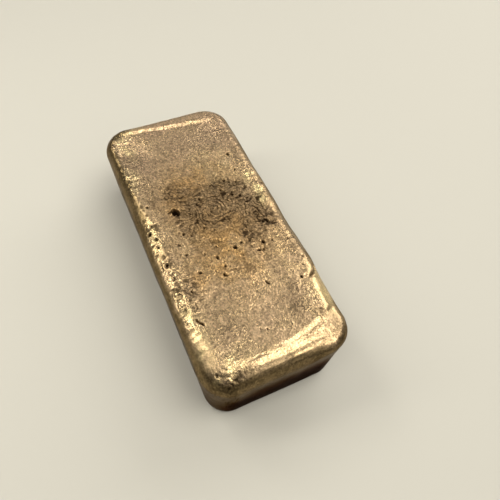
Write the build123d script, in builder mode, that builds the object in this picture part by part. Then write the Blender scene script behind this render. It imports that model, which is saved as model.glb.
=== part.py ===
"""A small bar of yellow metal, cast in an open mould.

The bar lies on the flat face that the mould's floor made, with the poured face up. The mould's
walls lean outwards, so the bar is widest at its rim, where the metal met the wall. Above the rim
the surface of the melt rolled inwards as it froze, and shrank into a shallow, uneven dish.

Millimetres. The origin is the middle of the base, +X runs along the bar and +Z is up.
"""
from build123d import *
from math import cos, exp, hypot, pi, radians, sin, sqrt
import os

# The bar as a whole. Its length, width and corners are measured at the rim.
length = 91.4
width = 40.4
height = 23.5
near_corner = 8.0
far_corner = 8.0
draft_angle = 5.0
base_edge = 1.5
roll_radius = 4.0

# The dish in the poured face, which ends part of the way over the roll, and the slow swells in it
dish_depth = 0.75
dish_over_roll = 1.2
dish_power = 6
swell = 0.09
swell_pitch = 17.0
surface_step = 4.0

# The last metal to freeze was pushed up into a low crusted mound
mound_x = -4.9
mound_y = 1.7
mound_height = 0.35
mound_reach = 9.0

# Shrinkage drew long flats into the rolled edge. Each is a place along the bar, a length and a
# depth, and they face up from the side by the same angle.
flat_rise = 35.0
right_flats = ((7.5, 17.0, 0.5), (31.5, 14.0, 0.6))
left_flats = ((-9.0, 13.0, 0.45), (21.5, 13.0, 0.35))

# On the right side a tongue of metal froze over the roll and left a crevice under its tip
crevice_x = 22.2
crevice_from_side = 1.5
crevice_radius = 2.2
crevice_breadth = 0.5
crevice_depth = 0.9
crevice_start = -70.0
crevice_sweep = 110.0

# The sides that the edge features are placed from
right_side = width / 2
left_side = -width / 2

# How wide a pore is at places above and below the skin: each pair is a share of its depth and a
# share of its mouth. A plain pore leans in to its floor, and the gas hole has a bulb under its mouth.
plain_pore = ((-1.0, 0.55), (1.0, 1.45))
bulb_pore = ((-1.0, 0.6), (-0.5, 1.12), (0.3, 1.0))

# The pores and cold cracks: place, mouth length and breadth, depth, and turn from the X axis
gas_hole = (-7.1, -8.8, 2.6, 2.3, 2.8, 15.0)
pores = {
    "gas_hole_tail": (-7.4, -10.3, 2.4, 0.9, 0.7, 100.0),
    "far_pore": (-22.9, right_side - 6.5, 1.2, 1.0, 0.9, 0.0),
    "ring_pore": (-10.2, 6.0, 1.6, 1.1, 0.9, 30.0),
    "dross_pore": (-6.3, 10.4, 1.3, 0.9, 0.8, -20.0),
    "trench": (2.2, right_side - 5.9, 6.8, 1.1, 0.6, -4.0),
    "trench_pit": (4.7, right_side - 6.7, 2.0, 0.9, 0.9, 25.0),
    "cluster_pore": (13.2, 8.1, 1.8, 1.3, 1.0, 60.0),
    "middle_slit": (10.6, -3.9, 1.9, 0.8, 0.8, 10.0),
    "left_slit": (13.6, -9.9, 1.5, 0.7, 0.7, 60.0),
    "brown_pore": (9.8, 1.8, 1.4, 1.1, 0.8, 30.0),
    "edge_slit": (26.9, left_side + 4.9, 3.3, 0.9, 0.8, 35.0),
    "edge_pit": (8.3, left_side + 3.0, 1.6, 1.2, 0.7, 0.0),
}

# Sizes that follow from those above
rim_height = height - roll_radius
dish_length = length / 2 - roll_radius + dish_over_roll
dish_width = width / 2 - roll_radius + dish_over_roll
crevice_y = right_side - crevice_from_side


def spread(reach, step):
    """Evenly spaced places from -reach to reach, about a step apart."""
    count = round(2 * reach / step)
    return [reach * (2 * place / count - 1) for place in range(count + 1)]


def poured_height(x, y):
    """Height of the poured face: a dish, slow swells and the mound in it."""
    bowl = dish_depth * ((x / dish_length) ** dish_power + (y / dish_width) ** dish_power - 1)
    slow = swell * sin(2 * pi * x / swell_pitch) * cos(2 * pi * y / swell_pitch)
    away = hypot(x - mound_x, y - mound_y)
    return height + bowl + slow + mound_height * exp(-((away / mound_reach) ** 2))


def skin_height(x, y):
    """Height of the bar's upper skin, on the poured face or on the roll along a side."""
    past_roll = max(0, abs(y) - width / 2 + roll_radius)
    return min(poured_height(x, y), rim_height + sqrt(roll_radius**2 - past_roll**2))


def cut_flat(side, x, flat_length, depth):
    """Cuts a long shallow flat into the roll of one side, as a big drum pressed into it would."""
    drum = flat_length**2 / (8 * depth) + depth / 2
    rise = radians(flat_rise)
    outward = Vector(0, side * cos(rise), sin(rise))
    roll_middle = Vector(x, side * (width / 2 - roll_radius), rim_height)
    centre = roll_middle + outward * (roll_radius + drum - depth)
    with BuildSketch(Plane(centre, x_dir=(1, 0, 0), z_dir=Vector(1, 0, 0).cross(outward))) as end:
        Circle(drum)
    extrude(end.sketch, amount=height / 2, both=True, mode=Mode.SUBTRACT)


def cut_pore(shape, x, y, mouth_length, mouth_breadth, depth, turn):
    """Cuts a pore of a given shape down from its oval mouth in the bar's skin."""
    along = Vector(cos(radians(turn)), sin(radians(turn)), 0)
    sections = []
    for depth_share, mouth_share in shape:
        centre = (x, y, skin_height(x, y) + depth_share * depth)
        with BuildSketch(Plane(centre, x_dir=along, z_dir=(0, 0, 1))) as section:
            Ellipse(mouth_share * mouth_length / 2, mouth_share * mouth_breadth / 2)
        sections.append(section.sketch)
    loft(sections=sections, ruled=True, mode=Mode.SUBTRACT)


crevice_line = CenterArc((0, 0), crevice_radius, crevice_start, crevice_sweep)

with BuildPart() as ingot:
    # The block that the mould gives, true to size at the rim and narrower below it
    Box(length, width, height, align=(Align.CENTER, Align.CENTER, Align.MIN))
    upright = ingot.edges().filter_by(Axis.Z).group_by(Axis.X)
    fillet(upright[-1], near_corner)
    fillet(upright[0], far_corner)
    draft(ingot.faces().filter_by(Axis.Z, reverse=True), Plane.XY.offset(rim_height), -draft_angle)
    fillet(ingot.faces().sort_by(Axis.Z)[0].edges(), base_edge)

    # The roll round the poured face, with the flats in it
    fillet(ingot.faces().sort_by(Axis.Z)[-1].edges(), roll_radius)
    for flat in right_flats:
        cut_flat(1, *flat)
    for flat in left_flats:
        cut_flat(-1, *flat)

    # The dish in the poured face
    places = [[Vector(x, y, poured_height(x, y)) for y in spread(width / 2, surface_step)]
              for x in spread(length / 2, surface_step)]
    poured_face = Face.make_surface_from_array_of_points(places)
    extrude(poured_face, amount=height, dir=(0, 0, 1), mode=Mode.SUBTRACT)

    # The crevice under the tongue, cut square to the roll
    crevice_skin = (crevice_x, crevice_y, skin_height(crevice_x, crevice_y))
    with BuildSketch(Plane(crevice_skin, x_dir=(1, 0, 0), z_dir=(0, 1, 1))) as crevice:
        SlotArc(crevice_line, crevice_breadth)
    extrude(crevice.sketch, amount=crevice_depth, both=True, mode=Mode.SUBTRACT)

    # The pores and cracks
    cut_pore(bulb_pore, *gas_hole)
    for place in pores.values():
        cut_pore(plain_pore, *place)

ingot.part.label = "ingot"
os.makedirs("parts", exist_ok=True)
export_step(ingot.part, "parts/ingot.step")
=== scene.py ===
"""A small brass bar, cast in an open mould, finished for a studio picture.

The bar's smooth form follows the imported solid, with the same dish, swells and mound, and rolls lower and
more broadly at the near end. Its skin is one relief laid over that form: the lip, the ledge, the wrinkled
dross, the crinkled edges, the cold laps, the cracks and the pores. Lengths in the form and the relief are
in millimetres. The frame's axes hold: +X along the bar to its near end, +Y to its right side, +Z up.
"""
import math
from functools import partial

import bpy
import numpy as np
from bpy.props import FloatProperty, FloatVectorProperty, IntProperty, PointerProperty
from mathutils import Matrix, Vector


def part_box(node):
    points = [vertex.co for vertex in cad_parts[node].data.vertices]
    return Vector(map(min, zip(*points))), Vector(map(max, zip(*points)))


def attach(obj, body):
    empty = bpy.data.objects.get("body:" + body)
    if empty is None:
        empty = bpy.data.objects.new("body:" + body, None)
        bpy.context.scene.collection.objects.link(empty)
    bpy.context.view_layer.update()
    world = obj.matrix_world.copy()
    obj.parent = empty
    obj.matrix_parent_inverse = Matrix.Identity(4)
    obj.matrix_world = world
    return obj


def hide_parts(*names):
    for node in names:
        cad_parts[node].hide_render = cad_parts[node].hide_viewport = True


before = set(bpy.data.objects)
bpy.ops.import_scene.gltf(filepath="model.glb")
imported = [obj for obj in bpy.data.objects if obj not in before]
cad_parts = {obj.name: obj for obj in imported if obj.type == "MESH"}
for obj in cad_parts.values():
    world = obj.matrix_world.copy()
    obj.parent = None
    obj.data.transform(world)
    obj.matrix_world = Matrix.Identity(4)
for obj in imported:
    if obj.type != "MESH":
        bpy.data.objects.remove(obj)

bl_info = {
    "name": "Cast brass bar",
    "version": (1, 0, 0),
    "blender": (4, 5, 0),
    "location": "3D View > Sidebar > Ingot",
    "description": "Models a brass bar poured in an open mould, and a plain stage for it",
    "category": "Object",
}

MM = 0.001
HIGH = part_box("ingot")[1]


def linear(text):
    """An sRGB hex colour as linear red, green and blue."""
    parts = [int(text[i:i + 2], 16) / 255 for i in (0, 2, 4)]
    return tuple(c / 12.92 if c <= 0.04045 else ((c + 0.055) / 1.055) ** 2.4 for c in parts)


# ---------------- sizes and colours a user may change


class BarSizes(bpy.types.PropertyGroup):
    """The bar's real sizes."""

    length: FloatProperty(name="Length", description="Length at the rim", default=0.0914, unit="LENGTH")
    width: FloatProperty(name="Width", description="Width at the rim", default=0.0404, unit="LENGTH")
    height: FloatProperty(name="Height", description="Height of the poured face", default=HIGH.z,
        unit="LENGTH")
    corner: FloatProperty(name="Corner", description="Corner radius at the rim", default=0.008,
        unit="LENGTH")
    roll: FloatProperty(name="Roll", description="Radius of the rolled top edge", default=0.004,
        unit="LENGTH")
    base_edge: FloatProperty(name="Base edge", description="Radius of the bottom edge", default=0.0015,
        unit="LENGTH")
    draft: FloatProperty(name="Draft", description="Lean of the walls", default=math.radians(5),
        unit="ROTATION")
    mesh_step: FloatProperty(name="Mesh step", description="Spacing of the skin's points",
        default=0.00023, unit="LENGTH")
    wall_rows: IntProperty(name="Wall rows", description="Rows of faces up the walls", default=13)


class BrassFinish(bpy.types.PropertyGroup):
    """Colours and gloss of the cast brass."""

    tan: FloatVectorProperty(name="Tan", description="Clean cast skin", subtype="COLOR",
        default=linear("D9BD92"))
    pink: FloatVectorProperty(name="Pink tan", description="Skin that cooled first", subtype="COLOR",
        default=linear("C9AB90"))
    ochre: FloatVectorProperty(name="Ochre", description="Stain of zinc and flux", subtype="COLOR",
        default=linear("CCA46D"))
    dross: FloatVectorProperty(name="Dross", description="Oxide crust", subtype="COLOR",
        default=linear("645442"))
    stain: FloatVectorProperty(name="Stain", description="Brown stain round the crust", subtype="COLOR",
        default=linear("A0845D"))
    # Partly thin grey oxide, partly painted shade: a shaded band inside the right side and dimmed
    # highlights on the crests
    dull: FloatVectorProperty(name="Dull", description="Thin grey oxide", subtype="COLOR",
        default=linear("988266"))
    # Partly bare bright metal, partly painted highlight on the rolled edges and corners
    clean: FloatVectorProperty(name="Clean", description="Bare bright metal where crust broke away",
        subtype="COLOR", default=linear("F0DAA4"))
    # The near-black of the pits, cracks and hollows; in the crevice under the tongue it is painted shade
    pit_dark: FloatVectorProperty(name="Soot", description="Dirt in pores and cracks", subtype="COLOR",
        default=linear("2A1D10"))
    # The chilled coat's colour: partly skin that the mould chilled, partly painted shade on the walls and
    # along the far left of the roll
    wall: FloatVectorProperty(name="Wall", description="Skin chilled by the mould", subtype="COLOR",
        default=linear("6E5D3D"))
    # Painted shade: darker towards the bottom of the walls, most at the near end and the near left corner
    burnt: FloatVectorProperty(name="Painted wall shade", description="Skin low on the walls", subtype="COLOR",
        default=linear("352214"))
    # Tints the walls' reflections darker: partly the oxide of the chilled skin, partly painted shade low on
    # the walls
    scale: FloatVectorProperty(name="Scale", description="Tint of the burnt skin seen along the wall",
        subtype="COLOR", default=linear("6B4A30"))
    gloss: FloatProperty(name="Roughness", description="Roughness of the clean skin", default=0.27, min=0,
        max=1, subtype="FACTOR")


class StageSettings(bpy.types.PropertyGroup):
    """Floor, lights and camera."""

    floor: FloatVectorProperty(name="Floor", description="Floor colour", subtype="COLOR",
        default=linear("D0CFC9"))
    room: FloatVectorProperty(name="Room", description="Light of the room", subtype="COLOR",
        default=(0.20, 0.187, 0.170))
    key: FloatProperty(name="Key light", description="Power of the small softbox beyond the left side",
        default=0.27, unit="POWER")
    top: FloatProperty(name="Top light", description="Power of the long softbox overhead", default=2.6,
        unit="POWER")
    glint: FloatProperty(name="Glint light", description="Power of the small lamp that the folds catch",
        default=0.60, unit="POWER")
    side: FloatProperty(name="Side light", description="Power of the softbox beyond the right side",
        default=1.5, unit="POWER")
    far: FloatProperty(name="Far light",
        description="Power of the small softbox beyond the far right corner", default=0.20, unit="POWER")
    corner: FloatProperty(name="Corner light",
        description="Power of the softbox above the near left corner", default=0.55, unit="POWER")
    end: FloatProperty(name="End light", description="Power of the softbox beyond the near end",
        default=0.42, unit="POWER")
    fill: FloatProperty(name="Fill light", description="Power of the wide dim panel overhead",
        default=1.25, unit="POWER")
    focal: FloatProperty(name="Focal length", description="Camera lens", default=35.78, unit="CAMERA")


# ---------------- noise


def scatter(ix, iy, iz, seed):
    """A fixed random number from -1 to 1 for each lattice point."""
    with np.errstate(over="ignore"):
        n = (ix.astype(np.uint32) * np.uint32(374761393) + iy.astype(np.uint32) * np.uint32(668265263)
             + iz.astype(np.uint32) * np.uint32(2246822519) + np.uint32(seed * 3266489917 % 4294967296))
        n = (n ^ (n >> np.uint32(13))) * np.uint32(1274126177)
        n = (n ^ (n >> np.uint32(16))) * np.uint32(2654435761)
        n = n ^ (n >> np.uint32(15))
    return n.astype(np.float64) / 2147483647.5 - 1


def noise(points, size, seed):
    """Smooth noise from -1 to 1 with lumps about size apart."""
    q = points / size + 57.3
    cell = np.floor(q).astype(np.int64)
    f = q - cell
    f = f * f * f * (f * (f * 6 - 15) + 10)
    total = np.zeros(len(points))
    for dx in (0, 1):
        for dy in (0, 1):
            for dz in (0, 1):
                weight = np.abs(1 - dx - f[:, 0]) * np.abs(1 - dy - f[:, 1]) * np.abs(1 - dz - f[:, 2])
                total += weight * scatter(cell[:, 0] + dx, cell[:, 1] + dy, cell[:, 2] + dz, seed)
    return total


def fractal(points, size, seed, octaves):
    """Noise with finer noise on it."""
    total, weight = np.zeros(len(points)), 1.0
    for k in range(octaves):
        total += weight * noise(points, size / 2 ** k, seed + k)
        weight *= 0.5
    return total


def folds(points, size, seed, sharp):
    """Sharp-crested folds about size apart, from 0 in the hollows to 1 on the crests."""
    ridge = 1 - np.abs(noise(points, size, seed)) * 2.2
    return np.clip(ridge, 0, 1) ** sharp


def step(start, end, value):
    """0 before start, 1 after end, and smooth between them."""
    t = np.clip((value - start) / (end - start), 0, 1)
    return t * t * (3 - 2 * t)


def blob(x, y, cx, cy, rx, ry, turn=0.0):
    """A soft oval patch, 1 in its middle."""
    c, s = math.cos(math.radians(turn)), math.sin(math.radians(turn))
    u, v = (x - cx) * c + (y - cy) * s, (y - cy) * c - (x - cx) * s
    return np.exp(-((u / rx) ** 2 + (v / ry) ** 2))


def patches(x, y, table, start=0.0):
    """Soft oval patches added to a start. Each has a place, a half length and half breadth, a turn in
    degrees and a strength."""
    for cx, cy, long, broad, turn, amount in table:
        start = start + amount * blob(x, y, cx, cy, long, broad, turn)
    return start


def in_plan(x, y):
    """Points at one height, for noise that only varies in plan."""
    return np.column_stack([x, y, np.zeros(len(x))])


# ---------------- the smooth form

# The dish: its depth, how far inside the rim it ends, how square it is, and where it stops rising
DISH_DEPTH, DISH_INSET, DISH_POWER, DISH_LIMIT = 0.75, 2.8, 6, 1.03
# Slow swells in the dish, and the low mound of the last metal to freeze
SWELL, SWELL_PITCH = 0.09, 17
MOUND_X, MOUND_Y, MOUND_HEIGHT, MOUND_REACH = -4.9, 1.7, 0.35, 9
# How much lower the rim is at the near end, and the radius of the crest's turn at the near corners
NEAR_DROP, CREST_TURN = 2.2, 12
# How far in the roll reaches along the far end
FAR_BREADTH = 3.9
# The share of a wall's rows that stand on its straight part, above the bottom edge
STRAIGHT = 0.69


class Form:
    """The bar's smooth form. Every mesh point has a place on it, an outward direction in plan and the
    distance that it lies inside the rim, and a point of a wall has its share of the drop to the base."""

    def __init__(self, sizes, flat, drop):
        self.length, self.width, self.height = sizes.length / MM, sizes.width / MM, sizes.height / MM
        self.corner, self.roll, self.edge = sizes.corner / MM, sizes.roll / MM, sizes.base_edge / MM
        self.lean = math.tan(sizes.draft)
        self.sheet, self.drop = flat, drop
        self.wall = drop > 1e-6
        self.find_plan(flat)
        lowered = NEAR_DROP * step(22, 42, self.x) * (1 - 0.85 * step(2, 15, self.y))
        self.rim = self.height - self.roll - lowered

    def find_plan(self, flat):
        """Lays the flat sheet's points over the roll, with the corners rounded."""
        centre = np.array([self.length / 2 - self.corner, self.width / 2 - self.corner])
        bend = self.roll * (math.pi / 2 - 1)
        reach = self.corner + bend
        sign = np.where(flat < 0, -1.0, 1.0)
        past = (np.abs(flat) - centre) / reach
        corner = (past > 0).all(axis=1)
        p, q = np.clip(past, 0, 1).T
        round_p, round_q = p * np.sqrt(1 - q * q / 2), q * np.sqrt(1 - p * p / 2)
        p, q = np.where(corner, round_p, p), np.where(corner, round_q, q)
        far = np.sqrt(p * p + q * q) * reach
        self.out = np.stack([p, q], 1) * reach / np.maximum(far, 1e-9)[:, None] * sign
        along = np.clip(reach - far, 0, None)
        on_roll = along < self.roll * math.pi / 2
        inset = np.where(on_roll, self.roll * (1 - np.cos(np.minimum(along / self.roll, math.pi / 2))),
                         along - bend)
        inset = np.where(far > 0, inset, self.corner)
        deep = (past <= 0).all(axis=1)
        edge_x, edge_y = self.length / 2 - np.abs(flat[:, 0]), self.width / 2 - np.abs(flat[:, 1])
        self.inset = np.where(deep, np.minimum(edge_x, edge_y), inset)
        inside = np.minimum(np.abs(flat), centre) * sign
        self.plan = inside + self.out * np.where(deep, 0, self.corner - self.inset)[:, None]
        self.x, self.y = self.plan.T

    def roll_breadth(self):
        """How far in from the rim the roll reaches, which differs from side to side."""
        x, y = self.x, self.y
        left = 3.4 + 3.6 * step(-12, -5, x) + 1.0 * step(16, 24, x)
        right = 5.0 + 2.0 * step(22, 30, x)
        near = np.minimum(6.3 + np.where(y > -5, 0.007, 0.07) * (y + 5) ** 2, 10.5)
        breadth = right + (left - right) * step(6, -6, y)
        breadth += (near - breadth) * step(30, 41, x)
        breadth += (FAR_BREADTH - breadth) * step(-34, -41, x)
        return breadth

    def upper(self):
        """Height of the poured face and its roll."""
        x, y, inset = self.x, self.y, self.inset
        edge_x, edge_y = self.length / 2 - np.abs(x), self.width / 2 - np.abs(y)
        turned = CREST_TURN - np.hypot(np.clip(CREST_TURN - edge_x, 0, CREST_TURN),
                                       np.clip(CREST_TURN - edge_y, 0, CREST_TURN))
        turning = step(1.5, 5.0, inset) * step(24, 34, x) * (0.30 + 0.70 * step(-8, 4, y))
        crest = inset + (np.minimum(turned, inset) - inset) * turning
        inside = np.clip(1 - crest / self.roll_breadth(), 0, 1)
        roll = self.rim + (self.height - self.rim) * np.sqrt(np.clip(1 - inside ** 2, 0, 1))
        dish_x, dish_y = self.length / 2 - DISH_INSET, self.width / 2 - DISH_INSET
        bowl = DISH_DEPTH * (np.minimum(np.abs(x) / dish_x, DISH_LIMIT) ** DISH_POWER
                             + np.minimum(np.abs(y) / dish_y, DISH_LIMIT) ** DISH_POWER - 1)
        slow = SWELL * np.sin(2 * np.pi * x / SWELL_PITCH) * np.cos(2 * np.pi * y / SWELL_PITCH)
        mound = MOUND_HEIGHT * np.exp(-((x - MOUND_X) ** 2 + (y - MOUND_Y) ** 2) / MOUND_REACH ** 2)
        face = self.height + bowl + slow + mound

        # The lower of face and roll. The crease between them is sharp, and softer at the near end
        sharp = 7.0 - 5.3 * step(16, 30, x) - 4.6 * step(8, 14, y) * step(-34, -24, x) * step(30, 16, x)
        lower = np.minimum(face, roll)
        eased = np.log(np.exp(-sharp * (face - lower)) + np.exp(-sharp * (roll - lower))) / sharp
        return lower - eased * step(0.4, 2.0, inset)

    def points(self):
        """Places of all the points in millimetres."""
        share = np.clip(self.drop, 0, 1)
        bent = np.clip((share - STRAIGHT) / (1 - STRAIGHT), 0, 1) * math.pi / 2
        low = self.rim - (self.rim - self.edge) * np.minimum(share / STRAIGHT, 1)
        z_wall = np.where(share > STRAIGHT, self.edge * (1 - np.sin(bent)), low)
        inset = self.lean * (self.rim - np.maximum(z_wall, self.edge)) + np.where(
            share > STRAIGHT, self.edge * (1 - np.cos(bent)), 0)
        plan = self.plan - self.out * np.where(self.wall, inset, 0)[:, None]
        z = np.where(self.wall, z_wall, self.upper())
        z = np.where(~self.wall & (self.inset < 1e-6), self.rim, z)
        return np.column_stack([plan, z])


# ---------------- what froze into the skin

# Pores: place, mouth length and breadth, depth, and turn from the X axis in degrees. The first 13 stand
# for the gas hole and 11 pores of the solid, of which the double one is drawn as two.
PORES = (
    (-7.4, -9.0, 2.6, 2.3, 2.0, 15), (-7.9, -10.6, 1.4, 0.8, 0.5, 100), (-22.9, 13.7, 1.15, 1.0, 0.9, 0),
    (-10.2, 6.0, 1.4, 1.0, 0.8, 30), (-6.3, 10.4, 1.1, 0.8, 0.6, -20), (4.7, 13.6, 2.2, 0.6, 0.8, 25),
    (13.4, 8.8, 0.8, 0.6, 0.8, 20), (13.0, 7.4, 1.1, 0.7, 0.7, 70), (11.0, -3.9, 1.3, 0.8, 0.7, 10),
    (13.6, -9.9, 1.3, 0.65, 0.7, 60), (9.8, 1.8, 1.2, 1.0, 0.7, 30), (26.9, -15.2, 3.0, 0.45, 0.8, 35),
    (8.3, -17.2, 1.0, 0.9, 0.5, 0),
    (-16.3, 13.0, 1.1, 0.5, 0.4, -20), (-13.5, 8.4, 0.7, 1.0, 0.5, 0), (-12.3, 9.5, 0.8, 0.6, 0.5, 0),
    (-11.8, 11.4, 0.8, 0.8, 0.5, 0), (-10.6, 10.3, 0.8, 0.6, 0.4, 30), (-7.6, 8.4, 1.0, 0.7, 0.5, 20),
    (-4.2, 12.9, 1.1, 0.5, 0.5, -40), (-3.5, 11.2, 0.7, 0.9, 0.5, 0), (-12.9, 3.7, 0.9, 0.6, 0.5, -20),
    (-14.6, 1.1, 0.7, 0.5, 0.4, 0), (-9.3, -1.1, 1.1, 0.7, 0.6, -10), (-7.7, -2.5, 1.0, 0.6, 0.5, 0),
    (-21.2, 4.2, 1.4, 0.4, 0.3, 15), (-5.3, -5.4, 1.0, 0.5, 0.4, 0), (-7.0, -4.9, 0.9, 0.6, 0.4, 30),
    (-14.3, -8.3, 1.7, 0.4, 0.25, -5), (-16.3, -9.2, 0.8, 0.35, 0.25, 10), (-11.7, -15.8, 0.8, 0.8, 0.5, 0),
    (1.8, -7.7, 0.75, 0.65, 0.5, 0), (0.5, -9.7, 0.8, 0.75, 0.6, 0), (0.7, -3.6, 0.6, 0.5, 0.4, 0),
    (2.4, -1.1, 0.6, 0.5, 0.35, 40), (-5.2, -16.9, 0.9, 0.5, 0.4, 0), (-3.1, -18.0, 1.0, 1.1, 0.5, 0),
    (-0.6, -16.9, 1.2, 0.6, 0.4, 0), (1.9, -17.3, 0.8, 0.5, 0.4, 0), (4.6, 12.6, 0.7, 0.8, 0.6, 0),
    (11.3, 12.2, 0.9, 0.65, 0.6, -55), (11.0, 9.7, 1.05, 0.85, 0.7, 0), (8.9, 4.0, 0.6, 0.9, 0.5, 10),
    (10.0, -0.2, 0.5, 0.5, 0.3, 0), (23.0, 5.1, 1.6, 0.55, 0.6, 25), (16.6, -4.2, 0.8, 0.6, 0.6, 20),
    (7.5, -2.8, 0.9, 0.5, 0.4, 0), (14.1, -3.0, 0.7, 0.7, 0.4, 0), (14.7, -5.9, 0.9, 0.3, 0.3, 0),
    (8.7, -6.6, 0.9, 0.5, 0.4, 0), (15.9, -8.4, 0.5, 0.5, 0.3, 0), (7.1, -11.1, 0.7, 1.1, 0.5, 0),
    (3.4, -11.9, 1.9, 0.4, 0.45, 45), (18.1, -13.9, 0.8, 0.6, 0.5, 0), (12.5, 16.4, 0.8, 0.7, 0.4, 0),
    (19.5, 17.3, 0.7, 0.6, 0.4, 60), (21.7, 16.2, 0.9, 0.4, 0.35, 0), (25.0, 14.2, 0.9, 0.8, 0.5, 0),
    (34.9, -0.6, 0.5, 0.5, 0.4, 0), (34.1, -2.2, 0.5, 0.35, 0.25, 0), (40.6, -16.5, 0.7, 0.6, 0.4, 0),
    (4.6, 7.4, 0.9, 0.5, 0.4, 0), (6.4, 7.9, 0.8, 0.4, 0.35, 30), (9.0, 6.4, 1.2, 0.6, 0.35, -30),
    (22.5, -14.2, 1.8, 0.4, 0.4, 0), (13.0, -16.7, 1.2, 0.9, 0.3, 0), (-26.9, 2.3, 0.6, 0.5, 0.2, 0),
    (-37.0, -7.9, 0.6, 0.8, 0.2, 0), (37.6, -5.1, 0.5, 0.3, 0.2, 0), (15.1, 8.1, 1.3, 0.3, 0.25, 80),
)

# Cracks and cold laps, each as its points in plan, a breadth and a depth, and how far the metal stands
# up along its one side
CRACKS = (
    ((10.0, -4.1), (10.9, -3.8), (12.0, -4.0), 0.35, 0.45, 0.05),
    ((16.4, -4.4), (17.0, -3.8), (18.1, -3.7), 0.35, 0.40, 0.06),
    ((16.8, 2.4), (16.3, 0.3), (15.8, -1.9), 0.42, 0.30, 0.20),
    ((16.3, -17.4), (17.0, -15.6), (19.0, -14.4), 0.50, 0.35, 0.14),
    ((14.2, -10.9), (15.4, -12.0), (16.4, -13.4), 0.30, 0.15, 0.05),
    ((16.4, -11.0), (18.4, -10.9), (19.5, -12.6), 0.30, 0.14, 0.05),
    ((25.9, 16.4), (25.8, 15.2), (25.9, 13.6), 0.40, 0.40, 0.08),
    ((36.4, 15.4), (35.2, 14.6), (34.4, 12.6), 0.45, 0.35, 0.10),
    ((30.4, -2.7), (31.4, -2.5), (32.4, -1.8), 0.22, 0.08, 0.0),
    ((-8.4, 14.3), (-6.4, 14.8), (-4.8, 15.6), 0.45, 0.25, 0.08),
    ((6.3, 16.0), (6.4, 14.8), (4.6, 13.9), 0.45, 0.45, 0.05),
    ((-1.2, 14.6), (1.0, 14.9), (3.6, 14.2), 0.55, 0.35, 0.06),
    ((-8.8, 18.9), (-8.6, 18.0), (-9.6, 17.2), 0.40, 0.25, 0.10),
    ((21.4, -14.4), (23.0, -14.2), (23.6, -15.6), 0.40, 0.30, 0.12),
)

# Knots of wrinkles: place, half length and half breadth, turn from the X axis in degrees, and density,
# and how far past its half sizes a knot reaches
KNOTS = (
    (1.5, -8.2, 2.8, 2.0, 30, 1.0), (7.0, 7.3, 3.8, 1.3, -25, 0.8), (13.2, 7.8, 1.8, 1.6, 0, 0.9),
    (18.5, 3.7, 1.8, 1.8, 0, 1.0), (16.4, -0.4, 2.8, 1.1, 75, 0.8), (16.2, -12.6, 2.6, 2.0, 0, 0.9),
    (20.8, -14.0, 2.0, 2.0, 0, 1.0), (3.0, 15.4, 3.8, 1.7, 0, 1.0), (-14.6, -7.4, 3.0, 2.4, 0, 0.8),
    (-12.4, -2.0, 2.2, 2.8, 0, 0.7), (7.6, -11.4, 1.8, 1.0, 40, 0.8), (9.4, -6.8, 1.4, 1.0, 0, 0.6),
    (35.6, 13.2, 2.0, 1.4, 30, 1.0), (-13.4, 6.8, 2.4, 2.8, 0, 0.9), (-8.0, 12.4, 3.2, 1.8, 0, 0.8),
    (10.6, 10.6, 1.8, 1.8, 0, 0.7), (24.6, 14.8, 1.6, 1.2, 0, 0.8), (-4.6, -8.6, 2.4, 1.4, 0, 0.7),
    (5.0, -15.2, 1.6, 1.2, 0, 0.6),
)
KNOT_REACH = 1.2

# Patches of crust, crinkled skin, ochre stain, bare bright metal with painted highlights, and dull oxide
# with painted shade: place, half length and half breadth, turn from the X axis in degrees, and strength
CRUSTED = (
    (-5.2, 4.8, 9.7, 11.2, 0, 1.25), (-4.0, -6.0, 7.0, 4.0, 0, 0.5), (3.0, 13.0, 5.0, 3.0, 0, 0.7),
    (6.5, 8.5, 5.0, 3.4, -30, 0.7), (16.0, 2.6, 3.6, 2.8, 0, 0.5), (-13.5, -8.0, 3.4, 2.6, 0, 0.45),
    (44.0, -13.0, 1.8, 4.8, 25, 0.95),
)
CRINKLED = (
    (30.8, 13.6, 5.0, 2.2, 0, 0.7), (33.5, -9.6, 3.6, 2.6, 0, 0.35), (43.2, -14.2, 2.4, 4.4, 0, 0.6),
    (-39.0, -14.2, 3.6, 3.4, 0, 1.2), (-14.0, 16.0, 4.0, 2.0, 0, 1.3), (-6.5, 16.4, 3.6, 1.9, 0, 1.3),
    (18.4, 2.6, 2.4, 2.4, 0, 0.9), (17.0, -12.4, 3.4, 3.4, 0, 0.6), (38.5, -12.6, 3.0, 2.6, 0, 0.35),
    (-22.5, -16.2, 6.0, 2.4, 0, 0.5), (-36.0, 14.6, 3.6, 2.4, 0, 0.8), (-33.0, 6.0, 9.0, 8.0, 0, 0.45),
    (2.5, 14.5, 4.5, 1.8, 0, 0.8), (14.0, 15.0, 7.0, 2.4, 0, 0.5),
)
OCHRE = (
    (3.0, 1.0, 17.0, 11.5, 0, 0.80), (9.0, -6.0, 10.0, 5.6, 0, 0.35), (-11.0, -9.4, 4.5, 3.4, 0, 0.55),
    (-14.5, -5.0, 6.0, 5.0, 0, 0.30), (4.0, 4.2, 5.0, 2.8, -15, 0.35), (16.0, -12.0, 4.0, 3.0, 0, 0.35),
    (3.0, 15.0, 7.0, 4.0, 0, 0.35), (-20.0, 4.0, 8.0, 9.0, 0, 0.42),
)
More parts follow.
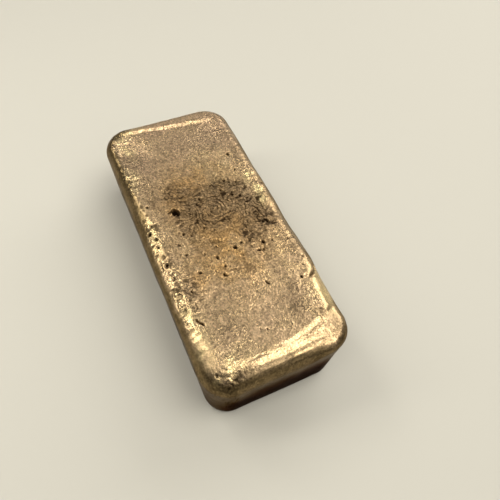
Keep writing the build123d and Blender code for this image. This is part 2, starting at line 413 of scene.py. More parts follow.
CLEAN_AND_HIGHLIGHT = (
    (-12.3, 15.6, 2.2, 1.2, -20, 1.0), (-6.7, 16.4, 1.8, 1.1, 0, 1.0), (-2.0, -17.3, 7.0, 1.5, 0, 0.6),
    (41.4, -17.0, 1.0, 0.8, 0, 1.0), (30.0, 18.2, 6.5, 2.2, 0, 0.8), (35.0, -18.2, 4.0, 1.6, 0, 0.6),
    (-30.0, -18.6, 13.0, 1.6, 0, 0.4), (-24.0, 8.0, 9.0, 6.0, 0, 0.25), (24.0, -17.5, 7.0, 1.4, 0, 0.4),
    (-40.0, -14.2, 3.6, 2.2, 0, 0.8), (-34.0, -13.6, 4.0, 1.8, 0, 0.45), (-23.0, -16.0, 5.5, 1.6, 0, 0.5),
    (39.5, -11.0, 2.4, 4.4, 30, 0.45), (-42.5, -11.0, 1.8, 3.8, 0, 0.7), (-3.8, 15.9, 2.6, 1.3, 0, 0.9),
    (29.5, -15.4, 4.0, 1.6, 0, 0.4),
)
DULL_AND_SHADE = (
    (-12.0, -12.5, 9.0, 3.6, 0, 0.6), (30.0, -9.6, 8.0, 3.8, 0, 0.9), (19.0, 9.4, 12.0, 2.8, 0, 0.45),
    (30.5, 9.8, 7.0, 3.0, -12, 1.0), (8.0, 17.6, 11.0, 2.3, 0, 1.3), (-29.0, 17.4, 12.0, 2.2, 0, 0.9),
    (17.6, -14.4, 3.0, 2.0, 0, 1.2), (5.0, -15.4, 3.6, 1.6, 0, 0.9), (23.5, -15.8, 2.2, 1.6, 0, 0.9),
    (33.0, 8.0, 5.0, 5.0, 0, 0.25), (-30.0, -16.0, 9.0, 3.0, 0, 0.5), (4.0, -8.0, 7.0, 5.0, 0, 0.4),
    (43.0, -16.6, 3.4, 3.6, 0, 1.1), (43.4, 12.6, 2.8, 5.6, 18, 1.3), (40.0, 16.5, 4.0, 2.6, -35, 0.6),
)
# Where the crust is thickest, and how far such a place reaches
THICK = ((-7.0, 9.6), (-9.7, 5.8), (-4.9, -4.9), (-2.0, -4.8), (-3.9, 12.8), (-0.8, 11.3), (-6.0, 4.5),
         (1.5, 12.5))
THICK_LONG, THICK_BROAD = 2.0, 1.7

# The flats of the rolled edge: side, place along the bar, length and depth
FLATS = ((1, 7.5, 17, 0.5), (1, 31.5, 14, 0.6), (-1, -9.0, 13, 0.45), (-1, 21.5, 13, 0.35))
# How the right side bows in plan, as patches along it
BOWS = ((-8, 0, 9, 1, 0, 0.12), (7.5, 0, 5, 1, 0, -0.15), (19, 0, 2.2, 1, 0, 0.2), (32, 0, 6, 1, 0, -0.3))
# The middle of the tongue's round tip
TIP_X, TIP_Y = 22.9, 16.4

# Heights and depths of the relief
LIP_DEPTH, FAR_CORNER_DEPTH = 0.58, 0.80
END_SAG, LEDGE_DEPTH, CREASE_HEIGHT, GROOVE_DEPTH, BUMP_HEIGHT = 0.45, 0.30, 0.08, 0.02, 0.20
END_STREAKS, LEFT_STREAKS, EDGE_STREAKS, CROSS_STREAKS = 0.055, 0.055, 0.060, 0.045
TONGUE_RISE, CREVICE_DEPTH, CREVICE_LIP = 0.22, 0.60, 0.14
CRUST_HEIGHT, WEAVE_HEIGHT, WRINKLE_DEPTH, BLOT_DEPTH, PORE_LIP = 0.110, 0.055, 0.13, 0.09, 0.03

# The masks that the finish reads: dark in the pits, with painted shade in the tongue's crevice, crust,
# shiny folds, ochre, pink tones, grey tones with painted shade, how crystalline the skin is, skin that the
# mould made with painted shade, painted shade low on the walls, brown stain, and bare metal with painted
# highlights
MASKS = ("pit", "dross", "crinkle", "ochre", "pink", "dull", "grain", "chilled", "burnt", "stain", "clean")


def near_line(x, y, points):
    """Distance from a line of points, and which side of it a place is on."""
    best = np.full(len(x), 1e9)
    side = np.zeros(len(x))
    for (ax, ay), (bx, by) in zip(points, points[1:]):
        dx, dy = bx - ax, by - ay
        size = math.hypot(dx, dy)
        t = np.clip(((x - ax) * dx + (y - ay) * dy) / size ** 2, 0, 1)
        away = np.hypot(x - ax - t * dx, y - ay - t * dy)
        cross = ((x - ax) * dy - (y - ay) * dx) / size
        nearer = away < best
        side = np.where(nearer, cross, side)
        best = np.minimum(best, away)
    return best, side


class Skin:
    """The relief over the smooth form, in millimetres along its normal, and the masks of its finish. In
    step and blob the numbers are places along and across the bar. In noise, folds and fractal they are a
    size and a seed, and then how sharp or how detailed it is."""

    def __init__(self, form, points):
        self.form, self.p = form, points
        self.x, self.y = form.x, form.y
        self.top = ~form.wall
        # The unrolled sheet, so that no pattern is squeezed on the roll
        self.flat = np.column_stack([form.sheet, np.where(form.wall, form.drop * 20, 0)])
        self.relief = np.zeros(len(points))
        self.mask = {name: np.zeros(len(points)) for name in MASKS}

    def darken_hollows(self, amount):
        """Darkens the pits and hollows, where they aren't darker yet."""
        self.mask["pit"] = np.maximum(self.mask["pit"], amount)

    def areas(self):
        """Where the skin is crusted, crinkled or stained, and where highlight and shade are painted into
        it.
        """
        x, y, p, inset, mask = self.x, self.y, self.flat, self.form.inset, self.mask
        ragged = fractal(p, 3.2, 11, 4)
        wide = [(kx, ky, KNOT_REACH * long, KNOT_REACH * broad, turn, density)
                for kx, ky, long, broad, turn, density in KNOTS]
        self.dense = np.clip(patches(x, y, wide), 0, 1.1)
        mask["dross"] = step(0.30, 0.95, patches(x, y, CRUSTED) + 0.42 * self.dense + 0.28 * ragged)
        far_left = step(-10.5, -14.5, y) * step(-10, -18, x) * (0.65 + 0.35 * step(-24, -30, x))
        left = step(-13.6, -16.0, y) * step(31, 25, x) * step(-10, -6, x)
        crinkle = patches(x, y, CRINKLED, 0.62 * left + 0.9 * far_left)
        mask["crinkle"] = np.clip(crinkle * (0.8 + 0.45 * ragged), 0, 1) * step(0.6, 2.4, inset)
        mask["ochre"] = np.clip(patches(x, y, OCHRE) * (0.95 + 0.60 * fractal(p, 3.2, 21, 5)), 0, 1)
        pink = step(-10, -34, x) + 0.5 * blob(x, y, 30, 1, 9, 12)
        mask["pink"] = np.clip(pink * (0.8 + 0.5 * fractal(p, 5, 31, 4)), 0, 1)

        stain = 1.25 * blob(x, y, 2.0, 0.5, 22.0, 12.5) * step(24, 16, x + 2.0 * noise(p, 6.0, 29))
        stain += 0.35 * blob(x, y, 2.0, -9.0, 7.0, 4.0) - 0.85 * blob(x, y, 4.6, 2.5, 6.2, 4.8)
        cloudy = 0.75 + 0.55 * fractal(p, 4.5, 30, 4) + 0.35 * noise(p, 1.0, 35)
        mask["stain"] = np.clip(stain * cloudy, 0, 1)
        # Bare bright metal, partly painted highlight where the rolls and corners catch a light
        mask["clean"] = np.clip(patches(x, y, CLEAN_AND_HIGHLIGHT) * (0.8 + 0.7 * fractal(p, 1.8, 32, 3)), 0, 1)
        # Grey oxide, partly painted shade that dims crest highlights and lays a shaded band inside the
        # right side
        mask["dull"] = np.clip(patches(x, y, DULL_AND_SHADE) * (0.8 + 0.6 * fractal(p, 3.0, 25, 4)), 0, 1)
        smooth_roll = step(3.0, 6.5, inset) * step(41.5, 36, x)
        grain = 0.40 + 0.25 * step(36, 41, x) + (0.60 - 0.15 * step(20, 27, x)) * smooth_roll
        grain += 0.5 * step(10, 15, y) * step(27, 20, x) * step(0.8, 2.0, inset) + 0.9 * mask["crinkle"]
        mask["grain"] = np.clip(grain, 0, 1.4)

    def mould_skin_and_shade(self):
        """How far in from the rim the mould chilled the skin, with painted shade along the far left of the
        roll, and the painted shade that darkens the walls towards the bottom, most at the near end.
        """
        x, y, p = self.x, self.y, self.flat
        edge = self.form.inset + 0.45 * noise(p, 3.0, 26) + 0.25 * noise(p, 1.1, 27)
        reach = 1.2 + 0.7 * step(30, 40, x) - 0.9 * step(20, 27, x) * step(8, 14, y)
        # Painted shade: the darker band reaches further in along the far left of the roll and at its far
        # left corner
        reach += 1.3 * step(-8, -14, y) * step(0, -8, x) + 0.9 * step(-38, -42, x) * step(-10, -16, y)
        self.mask["chilled"] = np.where(self.top, step(reach + 0.8, reach - 0.8, edge), 1)
        # Painted shade, darker towards the bottom of the walls and strongest at the near end and the near
        # left corner
        low = np.where(self.top, -0.16 * edge, self.form.drop) + 0.15 * fractal(self.p, 9, 28, 4)
        end = step(24, 40, x)
        amount = 0.45 + 0.45 * end * step(-19.5, -12, y) + 0.35 * step(-16, -19, y) * step(42, 34, x)
        self.mask["burnt"] = step(0.0, 0.80 - 0.12 * end, low + 0.10 * end) * amount

    def ends(self):
        """The lip and the sunk corner of the far end, and the sag, ledge and creases of the near end."""
        x, y, p, inset = self.x, self.y, self.flat, self.form.inset
        uneven = noise(p, 2.2, 41) * 0.22 + noise(p, 0.9, 42) * 0.14
        lip_line = -40.5 + 0.115 * (y - 3) + uneven
        lip = step(-0.6, 0.75, x - lip_line) * step(-26, -36, x) * step(-18, -12, y) * step(17, 12.5, y)
        corner = step(-43.6, -33.5, x + uneven) * step(-22, -35, x)
        corner *= step(-6, -13.5, y) * step(-19.5, -16, y)
        self.relief -= self.top * (LIP_DEPTH * lip + FAR_CORNER_DEPTH * corner)

        sag = np.clip(1 - (45.7 - x) / 8.6, 0, 1) ** 2 * step(0, 3.0, inset)
        ledge_line = 40.3 - 0.0125 * (y + 2.5) ** 2 + 0.8 * uneven
        ledge = step(-0.75, 0.75, x - ledge_line) * step(0.5, 3.5, y) * step(0.5, 3.0, inset)
        self.relief -= self.top * (END_SAG * sag + LEDGE_DEPTH * ledge)
        wave = 0.4 * uneven - 0.02 * y
        crease = np.exp(-((inset - 1.9 + wave) / 0.24) ** 2) * step(-15, -12, y) * step(11, 7, y)
        groove = np.exp(-((inset - 1.3 + wave) / 0.25) ** 2) * step(-15, -12, y) * step(13, 9, y)
        streaks = noise(in_plan(inset / 0.55, x * 0.22 + y * 0.22), 1.0, 43) * step(8, 6, inset)
        self.relief += step(36, 41, x) * self.top * (
            CREASE_HEIGHT * crease - GROOVE_DEPTH * groove + END_STREAKS * streaks)
        self.relief += BUMP_HEIGHT * blob(x, y, 41.9, -16.6, 1.0, 0.8) * self.top

    def sides(self):
        """The streaks across the long edges, and the flats drawn into them."""
        x, y, inset = self.x, self.y, self.form.inset
        left = noise(in_plan(x / 0.8, y / 3.5), 1.0, 44) * (
            step(19, 24, x) * step(38, 33, x) * step(-13, -15, y))
        both = noise(in_plan(x / 0.75, y / 4.5), 1.0, 46) * (
            1.4 * step(-38, -30, x) * step(27, 20, x) * step(13.0, 15.5, y)
            + step(-10, -4, x) * step(33, 28, x) * step(-12.0, -14.5, y))
        cross = noise(in_plan(x / 2.4, y / 0.75), 1.0, 45) * step(37, 39, x)
        self.relief += self.top * step(0.6, 2.2, inset) * (
            LEFT_STREAKS * left + EDGE_STREAKS * both + CROSS_STREAKS * cross)
        side = np.where(y > 0, 1, -1) * step(4.2, 2.2, inset) * step(0, 1.0, inset)
        for sign, middle, size, depth in FLATS:
            bow = np.clip(1 - ((x - middle) / (size / 1.7)) ** 2, 0, 1) ** 1.8
            self.relief -= depth * 0.5 * bow * np.clip(side * sign, 0, 1)

    def outline(self):
        """How far the rim bows in and out in plan, which fades below the rim and over the roll."""
        x, y = self.x, self.y
        away = np.where(self.top, np.exp(-self.form.inset / 3.0), np.exp(-self.form.drop * 2.2))
        wander = 0.16 * noise(in_plan(x, y), 13, 51) + 0.07 * noise(in_plan(x, y), 4, 52)
        return (wander + step(8, 14, y) * patches(x, 0 * y, BOWS)) * away

    def tongue(self):
        """The tongue of metal that froze over the right roll, and the crevice under its tip."""
        x, y = self.x, self.y
        rho = np.hypot(x - TIP_X, y - TIP_Y)
        angle = np.degrees(np.arctan2(y - TIP_Y, x - TIP_X))
        arc = step(-8, 12, angle) * step(112, 92, angle) * self.top
        tip = step(2.45, 1.5, rho) * step(13.0, 16.5, y)
        behind = step(2.0, 0.5, x - TIP_X) * step(13.6, 18.0, y) * step(7, 15, x) * step(
            TIP_X + 0.5, TIP_X - 1.5, x)
        self.relief += TONGUE_RISE * np.clip(tip + behind, 0, 1) * self.top
        crevice = np.exp(-((rho - 2.55) / 0.21) ** 2) * arc
        self.relief += CREVICE_LIP * np.exp(-((rho - 3.12) / 0.20) ** 2) * arc - CREVICE_DEPTH * crevice
        # Painted shade in the crevice under the tip
        self.darken_hollows(crevice ** 0.7)

    def crust(self):
        """The rings and folds of the dross round the mound, and the darkening between them."""
        x, y, p, dross = self.x, self.y, self.flat, self.mask["dross"]
        rho = np.hypot((x - MOUND_X) / 1.1, y - MOUND_Y)
        drift = 2.3 * noise(p, 4.2, 60) + 1.0 * noise(p, 1.8, 61)
        turns = 6.5 * np.tanh(rho / 6.5) + drift * (0.25 + 0.75 * step(1.5, 8.0, rho))
        broken = 0.30 + 0.70 * step(-0.35, 0.35, noise(p, 1.1, 62))
        rings = 0.8 * np.sin(2 * np.pi * turns) + 0.35 * np.sin(4 * np.pi * turns + 2 * noise(p, 2.0, 63))
        crust = rings * broken + 0.50 * noise(p, 0.7, 66) + 0.35 * noise(p, 1.6, 64)
        self.relief += self.top * dross * CRUST_HEIGHT * crust
        thick = np.clip(sum(blob(x, y, *place, THICK_LONG, THICK_BROAD) for place in THICK), 0, 1)
        lines = 0.85 * step(-0.05, -0.9, crust) + 0.35 * thick * step(0.1, -0.6, crust)
        self.darken_hollows(np.clip(dross * lines, 0, 0.9))
        return dross * (1 - 0.45 * step(0.35, 1.0, crust))

    def wrinkles(self):
        """The weave of the stained skin, the knots of wrinkles, and the crinkled and blotted edges."""
        x, y, p, dense, stain = self.x, self.y, self.flat, self.dense, self.mask["stain"]
        weave = folds(p * (0.8, 1.1, 1.0), 1.5, 76, 1.3) - folds(p * (1.1, 0.8, 1.0), 1.2, 77, 1.3)
        self.relief += self.top * WEAVE_HEIGHT * stain * weave
        self.darken_hollows(0.45 * stain * step(-0.25, -0.75, weave))
        start = 0.42 - 0.72 * dense - 0.28 * stain
        one = noise(p, 1.3, 65) + 0.25 * noise(p, 0.7, 67)
        strokes = np.exp(-(one / 0.20) ** 2) * step(start, start + 0.3, noise(p, 1.5, 68))
        other = noise(p, 0.95, 69) + 0.25 * noise(p, 0.6, 70)
        crossing = np.exp(-(other / 0.20) ** 2) * step(start + 0.2, start + 0.5, noise(p, 1.7, 75))
        strokes = np.maximum(strokes, crossing) * np.clip(stain + dense, 0, 1)
        strokes *= 1 - 0.7 * self.mask["dross"]
        self.relief -= self.top * WRINKLE_DEPTH * strokes
        self.darken_hollows(0.85 * strokes)

        crinkle = self.mask["crinkle"]
        left = step(-11, -14, y) * step(34, 26, x) * step(-20, -10, x)
        crinkles = folds(p * (1.0, 0.8, 1.0), 1.7, 71, 1.2) * 0.15 - folds(p, 1.1, 72, 1.1) * 0.11
        crinkles += 0.08 * noise(p, 2.6, 73) + 0.06 * noise(p, 0.7, 74)
        self.relief += self.top * crinkle * crinkles * (1 + 0.35 * left)
        self.darken_hollows((0.55 + 0.35 * left) * crinkle * step(-0.02, -0.12, crinkles))
        blots = left * step(0.30, 0.60, noise(p, 1.5, 78) + 0.4 * noise(p, 0.6, 79)) * step(-19.2, -18.2, y)
        self.relief -= self.top * BLOT_DEPTH * blots
        self.darken_hollows(0.75 * blots)

    def plain_skin(self):
        """The satin unevenness of the poured face, and the walls' slow waves and upright scores."""
        p, q = self.flat, self.p
        face = 0.035 * noise(p, 5.5, 81) + 0.020 * noise(p, 2.1, 82) + 0.018 * noise(p, 1.0, 83)
        face += 0.016 * noise(p, 0.6, 86)
        scores = folds(q * (0.25, 0.25, 1.0), 2.6, 87, 3.0)
        wall = 0.07 * noise(q, 8, 84) + 0.03 * noise(q, 2.2, 85) - 0.05 * scores
        self.relief += np.where(self.top, face, wall)

    def openings(self):
        """Pores, cracks and laps."""
        x, y, p = self.x, self.y, self.flat
        ragged = noise(p, 0.9, 91) * 0.30 + noise(p, 0.45, 92) * 0.16
        pit = self.mask["pit"]
        for px, py, long, broad, depth, turn in PORES:
            near = (np.abs(x - px) < 4) & (np.abs(y - py) < 4) & self.top
            c, s = math.cos(math.radians(turn)), math.sin(math.radians(turn))
            u, v = (x[near] - px) * c + (y[near] - py) * s, (y[near] - py) * c - (x[near] - px) * s
            reach = np.hypot(u / (0.48 * long + 0.10), v / (0.46 * broad + 0.05)) + ragged[near]
            lip = np.exp(-((reach - 1.45) / 0.35) ** 2)
            self.relief[near] += PORE_LIP * lip - depth * step(1.10, 0.60, reach)
            pit[near] = np.maximum(pit[near], step(1.1, 0.75, reach) * min(1, 0.5 + depth))
        for *line, breadth, depth, lift in CRACKS:
            away, side = near_line(x, y, line)
            shake = (0.22 * noise(p, 1.0, 93) + 0.12 * noise(p, 0.5, 94)) * (away < 3)
            away, side = np.abs(away + shake), side + shake
            broken = np.clip(0.65 + 0.8 * noise(p, 0.9, 95), 0.15, 1)
            gap = np.exp(-(away / (breadth * 0.55)) ** 2) * broken * self.top
            bank = np.exp(-((side - breadth * 1.2) / (breadth * 0.8)) ** 2) * np.exp(
                -(away / (breadth * 2.0)) ** 2) * self.top
            self.relief += 0.6 * lift * bank - depth * gap
            pit[:] = np.maximum(pit, gap ** 0.8 * min(1, depth * 3.2))

    def build(self):
        """Lays down the slow forms first, then the folds, and cuts the openings last."""
        self.areas()
        self.mould_skin_and_shade()
        self.ends()
        self.sides()
        self.tongue()
        dross = self.crust()
        self.wrinkles()
        self.mask["dross"] = dross
        self.plain_skin()
        self.openings()


# ---------------- mesh


def only(obj):
    """Makes obj the one selected and active object."""
    bpy.ops.object.select_all(action="DESELECT")
    obj.select_set(True)
    bpy.context.view_layer.objects.active = obj


def read_points(mesh):
    co = np.zeros(len(mesh.vertices) * 3)
    mesh.vertices.foreach_get("co", co)
    return co.reshape(-1, 3)


def write_points(mesh, points):
    mesh.vertices.foreach_set("co", points.astype(np.float32).ravel())
    mesh.update()


def point_normals(mesh):
    out = np.zeros(len(mesh.vertices) * 3, np.float32)
    mesh.vertex_normals.foreach_get("vector", out)
    return out.reshape(-1, 3).astype(float)


def sheet_and_walls(sizes):
    """A grid for the poured face and roll, with walls pulled down from its border and closed below.
    It is flat and square, and its coordinates say where each point belongs on the form."""
    bend = sizes.roll * (math.pi / 2 - 1)
    across = (sizes.length + 2 * bend, sizes.width + 2 * bend)
    bpy.ops.object.select_all(action="DESELECT")
    columns, rows = (round(side / sizes.mesh_step) for side in across)
    bpy.ops.mesh.primitive_grid_add(x_subdivisions=columns, y_subdivisions=rows, size=1, calc_uvs=False)
    bar = bpy.context.object
    bpy.ops.object.mode_set(mode="EDIT")
    bpy.ops.mesh.select_all(action="SELECT")
    bpy.ops.transform.resize(value=(across[0], across[1], 1))
    bpy.ops.mesh.region_to_loop()
    bpy.ops.mesh.extrude_region_move(TRANSFORM_OT_translate={"value": (0, 0, -1)})
    bpy.ops.mesh.edge_face_add()
    bpy.ops.mesh.select_all(action="DESELECT")
    bpy.ops.object.mode_set(mode="OBJECT")
    mesh = bar.data
    z = read_points(mesh)[:, 2]
    ends = np.zeros(len(mesh.edges) * 2, int)
    mesh.edges.foreach_get("vertices", ends)
    ends = ends.reshape(-1, 2)
    upright = np.abs(z[ends[:, 0]] - z[ends[:, 1]]) > 0.5
    bpy.ops.object.mode_set(mode="EDIT")
    bpy.ops.mesh.select_mode(type="EDGE")
    bpy.ops.object.mode_set(mode="OBJECT")
    mesh.edges.foreach_set("select", upright)
    bpy.ops.object.mode_set(mode="EDIT")
    bpy.ops.mesh.subdivide_edgering(number_cuts=sizes.wall_rows - 1, interpolation="LINEAR")
    bpy.ops.mesh.select_all(action="SELECT")
    bpy.ops.mesh.normals_make_consistent(inside=False)
    bpy.ops.mesh.select_all(action="DESELECT")
    bpy.ops.object.mode_set(mode="OBJECT")
    return bar


def cast_bar(sizes):
    """The finished mesh of the bar, with the masks of its skin as point attributes."""
    bar = sheet_and_walls(sizes)
    mesh = bar.data
    raw = read_points(mesh)
    form = Form(sizes, raw[:, :2] / MM, -raw[:, 2])
    smooth = form.points()
    write_points(mesh, smooth * MM)
    normals = point_normals(mesh)
    skin = Skin(form, smooth)
    skin.build()
    # The lowest rows and the base lie on the floor, and stay plain
    plain = form.drop > 0.95
    relief = np.where(plain, 0, skin.relief)
    bow = skin.outline() * ~plain
    finished = smooth + normals * relief[:, None]
    finished[:, :2] += form.out * bow[:, None]
    write_points(mesh, finished * MM)
    for name, values in skin.mask.items():
        mesh.attributes.new(name, "FLOAT", "POINT").data.foreach_set("value", values.astype(np.float32))
    only(bar)
    bpy.ops.object.shade_smooth()
    return bar


# ---------------- materials

MATH, RANGE, MIX = "ShaderNodeMath", "ShaderNodeMapRange", "ShaderNodeMix"
# Where a colour mix has its share, the colour below, the colour on top and its result
SHARE, BELOW, ABOVE, RESULT = 0, 6, 7, 2


def add_node(tree, kind, inputs=(), output=0, **settings):
    """Adds a node with its settings and gives back one of its outputs. Its inputs are listed in order, or
    by name or number, each as a value or as the output that it is linked to."""
    node = tree.nodes.new(kind)
    for name, value in settings.items():
        setattr(node, name, value)
    for key, value in inputs.items() if isinstance(inputs, dict) else enumerate(inputs):
        if isinstance(value, bpy.types.NodeSocket):
            tree.links.new(value, node.inputs[key])
        else:
            node.inputs[key].default_value = value
    return node.outputs[output] if node.outputs else None


def cast_brass(finish):
    """Cast brass, poured in an open mould. The free face is a satin, slightly crystalline skin that
    sparkles where it crinkled, dull brown where oxide floated up, and darker where the mould chilled it.
    Painted shade darkens the walls, most low down and at the near end, and the far left of the roll;
    painted highlights brighten parts of the rolled edges and corners."""
    material = bpy.data.materials.new("cast_brass_skin")
    material.use_nodes = True
    tree = material.node_tree
    tree.nodes.clear()
    node = partial(add_node, tree)
    place = node("ShaderNodeTexCoord", output="Object")
    mask = {name: node("ShaderNodeAttribute", output="Fac", attribute_name=name) for name in MASKS}

    # Clouds by their size in millimetres, detail and roughness: grain, blotches and the bump's grain.
    # Real grain is finer than half a millimetre, and is drawn at 0.45 to 0.5 mm so that it shows.
    grain, blotch, rubble = (
        node("ShaderNodeTexNoise", {"Vector": place, "Scale": 1 / (size * MM), "Detail": detail,
                                    "Roughness": rough}, "Fac")
        for size, detail, rough in ((0.5, 3, 0.5), (3.0, 4, 0.6), (0.5, 3, 0.6)))
    crystal = node("ShaderNodeTexVoronoi", {"Vector": place, "Scale": 1 / (0.45 * MM)}, "Distance")

    # Light and dark grains and crystals, strongest where the skin is crystalline
    cell = node("ShaderNodeSeparateColor", (crystal.node.outputs["Color"],))
    grains, cells = node(RANGE, (grain, 0.3, 0.7, 0.52, 1.32)), node(RANGE, (cell, 0.0, 1.0, 0.60, 1.28))
    speckle = node(MATH, (grains, cells), operation="MULTIPLY")
    contrast = node(MATH, (speckle, 1.0), operation="SUBTRACT")
    crisp = node(RANGE, (mask["grain"], 0.0, 1.0, 0.3, 1.0))
    speckle = node(MATH, (contrast, crisp, 1.0), operation="MULTIPLY_ADD")
    speckled = node("ShaderNodeCombineColor", (speckle, speckle, speckle))

    # Coats of colour from the clean skin outwards: mask, share of it and colour. A share that varies is
    # given as a cloud, its low and high, and the shares at them. The speckle multiplies what it covers.
    colour = (*finish.tan, 1)
    for name, share, coat in (
            (None, (blotch, 0.35, 0.65, 0.0, 0.45), finish.pink),
            ("pink", 0.55, finish.pink),
            ("ochre", 0.95, finish.ochre),
            ("dross", (grain, 0.35, 0.6, 1.0, 0.66), finish.dross),
            # Grey oxide, with painted shade
            ("dull", 0.75, finish.dull),
            ("stain", (blotch, 0.35, 0.65, 0.18, 0.55), finish.stain),
            # Bare metal, with painted highlights on the rolls and corners
            ("clean", 1.0, finish.clean),
            # Mould-chilled skin, with painted shade on the walls and along the far left of the roll
            ("chilled", (blotch, 0.3, 0.7, 0.75, 0.95), finish.wall),
            # Painted shade low on the walls
            ("burnt", 1.0, finish.burnt),
            (None, 1.0, speckled),
            # Near-black in the pits and hollows, painted shade in the tongue's crevice
            ("pit", 1.0, finish.pit_dark)):
        if isinstance(share, tuple):
            share = node(RANGE, share)
        if name:
            share = node(MATH, (mask[name], share), operation="MULTIPLY") if share != 1.0 else mask[name]
        above, blend = (coat, "MULTIPLY") if coat == speckled else ((*coat, 1), "MIX")
        colour = node(MIX, {SHARE: share, BELOW: colour, ABOVE: above}, RESULT, data_type="RGBA",
                      blend_type=blend)

    # Oxide and the dark pits are rougher than bare skin, and crinkles are shinier
    rough = node(RANGE, (blotch, 0.3, 0.7, finish.gloss - 0.03, finish.gloss + 0.05))
    for name, amount in (("dross", 0.16), ("crinkle", -0.12), ("pit", 0.30), ("chilled", 0.06)):
        rough = node(MATH, (mask[name], amount, rough), operation="MULTIPLY_ADD")
    rough = node(MATH, (rough, node(RANGE, (mask["grain"], 0.2, 0.8, 0.09, 0.0))), operation="ADD")
    # The reflections' tint: darker on the chilled skin and its painted shade, and darker still where
    # painted shade lies low on the walls
    oxide_and_shade = node(MATH, (mask["chilled"], 0.35), operation="MULTIPLY")
    oxide_and_shade = node(MATH, (mask["burnt"], 0.6, oxide_and_shade), operation="MULTIPLY_ADD")
    tint = node(MIX, {SHARE: oxide_and_shade, BELOW: (1, 1, 1, 1), ABOVE: (*finish.scale, 1)}, RESULT,
                data_type="RGBA")

    domes = node(MATH, (crystal, 0.45), operation="MULTIPLY")
    height = node(MATH, (rubble, 0.8, domes), operation="MULTIPLY_ADD")
    strength = node(MATH, (mask["chilled"], -0.25, 0.54), operation="MULTIPLY_ADD")
    strength = node(MATH, (mask["grain"], strength), operation="MULTIPLY")
    bump = node("ShaderNodeBump", {"Height": height, "Strength": strength, "Distance": 0.24 * MM}, "Normal")
    shader = node("ShaderNodeBsdfPrincipled", {"Base Color": colour, "Metallic": 1.0, "Roughness": rough,
                                               "Specular Tint": tint, "Normal": bump})
    node("ShaderNodeOutputMaterial", {"Surface": shader})
    return material


def pale_floor(colour):
    """Matt painted board, with no gloss of its own."""
    material = bpy.data.materials.new("matt_painted_board")
    material.use_nodes = True
    shader = material.node_tree.nodes["Principled BSDF"]
    shader.inputs["Base Color"].default_value = (*colour, 1)
    shader.inputs["Roughness"].default_value = 0.8
    return material


# ---------------- stage

# Softboxes: name, what it faces, the way to it, its distance, its length and breadth, and its colour
FACE, NEAR_ROLL = (0, 0, 0.02), (0.021, -0.017, 0.022)
WARM, SOFT_WARM = (1.0, 0.95, 0.82), (1.0, 0.95, 0.84)
LIGHTS = (
    ("key", NEAR_ROLL, (-0.42, -0.55, 0.72), 0.30, (0.058, 0.24), WARM),
    ("top", FACE, (0.24, 0.33, 0.91), 0.75, (0.35, 0.50), WARM),
    ("glint", FACE, (-0.68, -0.32, 0.66), 0.75, (0.16, 0.16), WARM),
    ("side", FACE, (-0.30, 0.78, 0.55), 0.70, (0.40, 0.38), SOFT_WARM),
    ("far", FACE, (-0.60, 0.55, 0.58), 0.70, (0.20, 0.20), SOFT_WARM),
    ("corner", FACE, (0.12, -0.34, 0.93), 0.75, (0.22, 0.22), WARM),
    ("end", FACE, (0.72, 0.25, 0.64), 0.70, (0.40, 0.40), (1.0, 0.96, 0.84)),
    ("fill", FACE, (-0.70, 0.22, 0.68), 1.0, (1.0, 1.1), (1.0, 0.97, 0.92)),
)
FLOOR_SIZE = 3
# The camera's place, and the directions of the picture's right and top
CAMERA_AT = (0.07715, -0.03262, 0.13398)
CAMERA_RIGHT, CAMERA_UP = (0.41830, 0.90613, 0.06294), (-0.76839, 0.31606, 0.55649)


def softbox(name, target, direction, distance, size, power, colour):
    """A soft light that faces a place on the bar, with its first side along the bar."""
    towards = Vector(direction).normalized()
    along = (Vector((1, 0, 0)) - towards * towards.x).normalized()
    bpy.ops.object.light_add(type="AREA")
    light = bpy.context.object
    light.name = name
    turn = Matrix((along, towards.cross(along), towards)).transposed().to_4x4()
    light.matrix_world = Matrix.Translation(Vector(target) + towards * distance) @ turn
    light.data.shape = "RECTANGLE"
    light.data.size, light.data.size_y = size
    light.data.energy, light.data.color = power, colour


def place_camera(focal):
    """The photograph's view, from above the left side of the near end and looking along the bar."""
    bpy.ops.object.camera_add()
    camera = bpy.context.object
    camera.name = "camera"
    right = Vector(CAMERA_RIGHT).normalized()
    back = right.cross(Vector(CAMERA_UP)).normalized()
    turn = Matrix((right, back.cross(right), back)).transposed().to_4x4()
    camera.matrix_world = Matrix.Translation(Vector(CAMERA_AT)) @ turn
    camera.data.sensor_width, camera.data.lens = 36, focal
    camera.data.clip_start = 0.005
    bpy.context.scene.camera = camera


# ---------------- operators and panel


class INGOT_OT_bar(bpy.types.Operator):
    """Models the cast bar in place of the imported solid"""

    bl_idname = "ingot.bar"
    bl_label = "Cast bar"

    def execute(self, context):
        bar = cast_bar(context.scene.bar_sizes)
        bar.name = bar.data.name = "cast_bar"
        bar.data.materials.append(cast_brass(context.scene.brass_finish))
        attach(bar, "root")
        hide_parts("ingot")
        return {"FINISHED"}


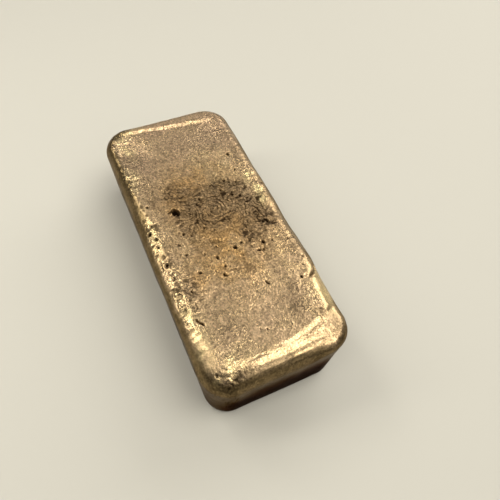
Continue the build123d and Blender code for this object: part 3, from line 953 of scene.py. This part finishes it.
class INGOT_OT_stage(bpy.types.Operator):
    """Adds the floor, the lights and the camera"""

    bl_idname = "ingot.stage"
    bl_label = "Stage"

    def execute(self, context):
        settings = context.scene.stage_settings
        bpy.ops.object.select_all(action="DESELECT")
        bpy.ops.mesh.primitive_plane_add(size=FLOOR_SIZE)
        floor = context.object
        floor.name = "floor"
        floor.data.materials.append(pale_floor(settings.floor))
        for name, target, direction, distance, size, colour in LIGHTS:
            softbox(name + "_light", target, direction, distance, size, getattr(settings, name), colour)
        world = bpy.data.worlds.new("room")
        world.use_nodes = True
        world.node_tree.nodes["Background"].inputs["Color"].default_value = (*settings.room, 1)
        context.scene.world = world
        place_camera(settings.focal)
        context.scene.view_settings.view_transform = "Standard"
        return {"FINISHED"}


class INGOT_PT_panel(bpy.types.Panel):
    """Lists the steps that build the bar and its stage"""

    bl_idname = "INGOT_PT_panel"
    bl_label = "Ingot"
    bl_space_type = "VIEW_3D"
    bl_region_type = "UI"
    bl_category = "Ingot"

    def draw(self, context):
        for owner in (context.scene.bar_sizes, context.scene.brass_finish, context.scene.stage_settings):
            box = self.layout.box()
            for name in owner.bl_rna.properties.keys():
                if name not in ("rna_type", "name"):
                    box.prop(owner, name)
        for operator in (INGOT_OT_bar, INGOT_OT_stage):
            self.layout.operator(operator.bl_idname)


CLASSES = (BarSizes, BrassFinish, StageSettings, INGOT_OT_bar, INGOT_OT_stage, INGOT_PT_panel)


def register():
    for cls in CLASSES:
        bpy.utils.register_class(cls)
    bpy.types.Scene.bar_sizes = PointerProperty(type=BarSizes)
    bpy.types.Scene.brass_finish = PointerProperty(type=BrassFinish)
    bpy.types.Scene.stage_settings = PointerProperty(type=StageSettings)


def unregister():
    for name in ("bar_sizes", "brass_finish", "stage_settings"):
        delattr(bpy.types.Scene, name)
    for cls in reversed(CLASSES):
        bpy.utils.unregister_class(cls)


def main():
    """Builds the bar and its stage."""
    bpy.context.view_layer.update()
    register()
    bpy.ops.ingot.bar()
    bpy.ops.ingot.stage()


if __name__ == "__main__":
    main()
